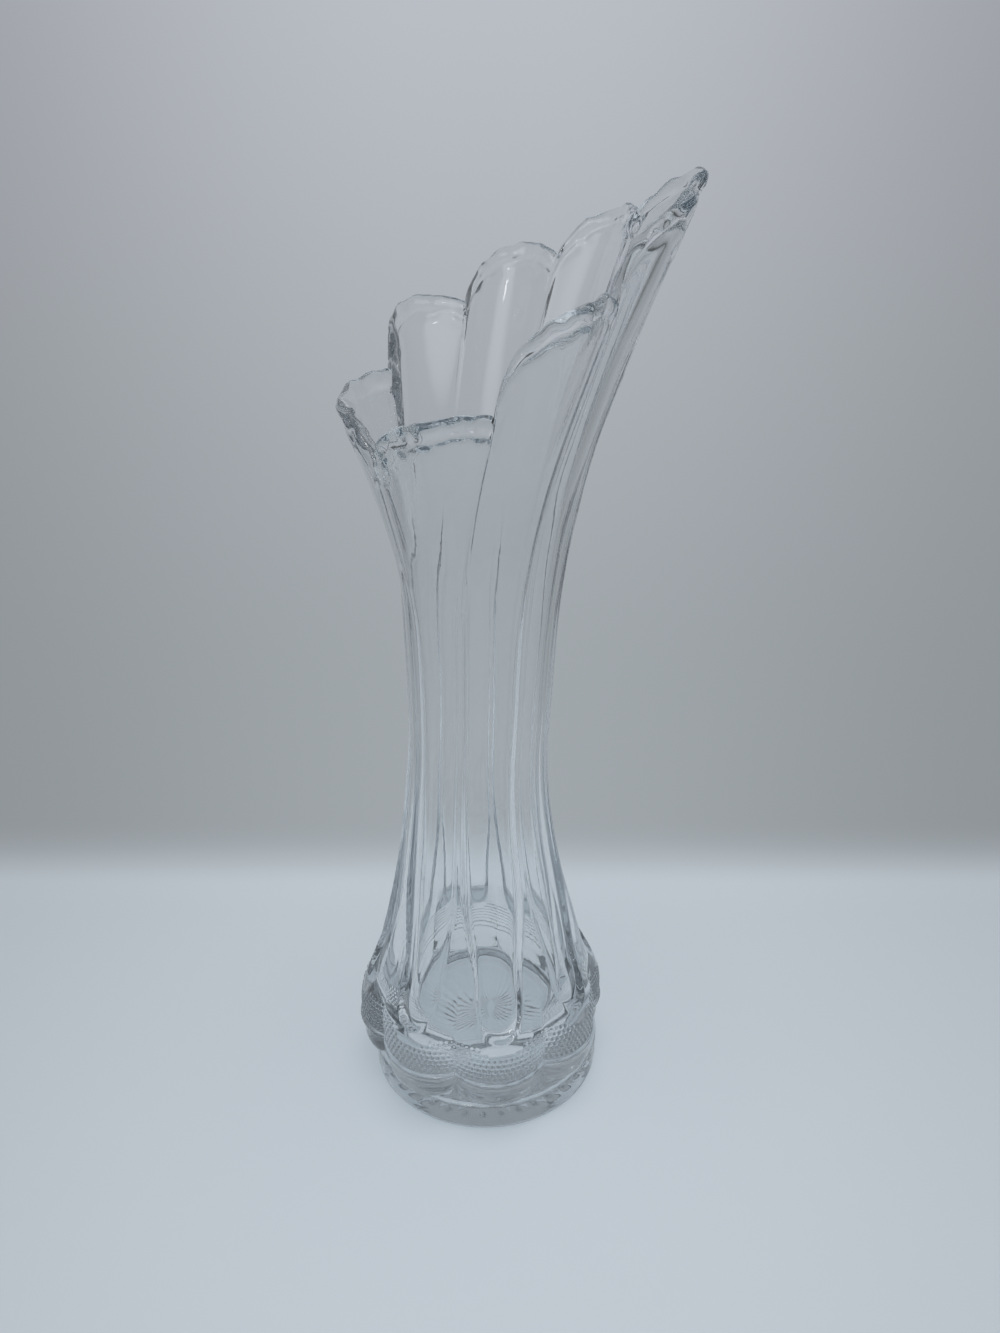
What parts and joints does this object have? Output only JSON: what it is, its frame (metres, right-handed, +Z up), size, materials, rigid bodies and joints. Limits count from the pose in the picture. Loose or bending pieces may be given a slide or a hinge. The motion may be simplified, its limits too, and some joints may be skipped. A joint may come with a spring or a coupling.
{
  "type": "swung glass vase",
  "caption": "Tall swung glass vase with a round foot, scalloped rolled lobes, long flutes and a leaning mouth of uneven rounded petals.",
  "frame": {"origin": "middle of the flat underside of the foot, on the surface that the vase stands on", "axes": "+Z up along the axis of the foot; -Y is the front in the picture, where the mouth is low; +X is the side that the tall lips lean to"},
  "size_m": [0.1275, 0.1214, 0.3569],
  "materials": {
    "clear_glass": "clear colourless glass, fire-polished and glossy"
  },
  "bodies": {
    "root": {"vase_body": "clear_glass"}
  },
  "joints": []
}
